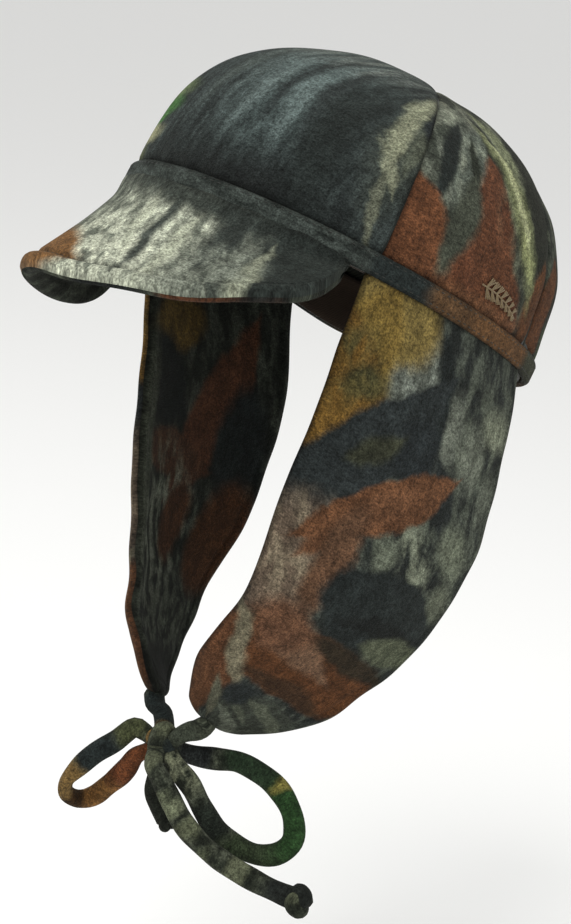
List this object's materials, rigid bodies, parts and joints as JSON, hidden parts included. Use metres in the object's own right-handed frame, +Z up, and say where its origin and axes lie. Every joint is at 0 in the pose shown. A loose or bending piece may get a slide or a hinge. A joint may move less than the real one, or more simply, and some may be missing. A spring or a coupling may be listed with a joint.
{
  "type": "trapper hat",
  "caption": "Soft fleece trapper hat with a domed crown, a short drooping visor, long ear flaps and chin ties knotted in a bow",
  "frame": {"origin": "middle of the head opening, level with the lower edge of the headband", "axes": "+Z up on an upright head, -Y the wearer's front, +X the wearer's left; the headband's plane is tipped 25 degrees, high at the front"},
  "size_m": [0.1756, 0.2795, 0.3739],
  "materials": {
    "crown_fleece": "brushed polyester fleece with a printed woodland camouflage",
    "band_fleece": "brushed polyester fleece with a printed woodland camouflage",
    "visor_fleece": "brushed polyester fleece with a printed woodland camouflage",
    "flap_fleece": "brushed polyester fleece with a printed woodland camouflage",
    "lining_fleece": "brushed polyester fleece with a printed woodland camouflage",
    "lining_cloth": "thin dark brushed knit",
    "sweatband_cloth": "folded twill",
    "label_cloth": "blank woven label",
    "padding": "bonded fibre padding",
    "board_plastic": "soft plastic sheet",
    "tie_fleece": "fleece strip sewn into a soft tube"
  },
  "bodies": {
    "crown": {"crown_front_panel": "crown_fleece", "crown_left_side_panel": "crown_fleece", "crown_right_side_panel": "crown_fleece", "crown_left_back_panel": "crown_fleece", "crown_right_back_panel": "crown_fleece", "headband": "band_fleece", "lining_front_panel": "lining_cloth", "lining_left_side_panel": "lining_cloth", "lining_right_side_panel": "lining_cloth", "lining_left_back_panel": "lining_cloth", "lining_right_back_panel": "lining_cloth", "sweatband": "sweatband_cloth", "size_label": "label_cloth"},
    "visor": {"visor_top_cover": "visor_fleece", "visor_board": "board_plastic", "visor_under_cover": "lining_fleece"},
    "left_flap": {"left_flap_outer": "flap_fleece", "left_flap_padding": "padding", "left_flap_lining": "lining_fleece", "left_tie": "tie_fleece", "bow_knot": "tie_fleece", "bow_left_loop": "tie_fleece", "bow_right_loop": "tie_fleece", "long_tail": "tie_fleece", "short_tail": "tie_fleece", "long_tail_end_knot": "tie_fleece", "short_tail_end_knot": "tie_fleece"},
    "right_flap": {"right_flap_outer": "flap_fleece", "right_flap_padding": "padding", "right_flap_lining": "lining_fleece", "right_tie": "tie_fleece"}
  },
  "joints": [
    {"name": "visor_tilt", "type": "hinge", "parent": "crown", "child": "visor", "pos_m": [0, -0.10168, 0.04697], "axis": [-1, 0, 0], "range_deg": [0, 35]},
    {"name": "left_flap_fold", "type": "hinge", "parent": "crown", "child": "left_flap", "pos_m": [0.088, -0.00021, -0.00045], "axis": [0, -0.9063, 0.4226], "range_deg": [0, 155]},
    {"name": "right_flap_fold", "type": "hinge", "parent": "crown", "child": "right_flap", "pos_m": [-0.088, -0.00021, -0.00045], "axis": [0, 0.9063, -0.4226], "range_deg": [0, 155]}
  ]
}
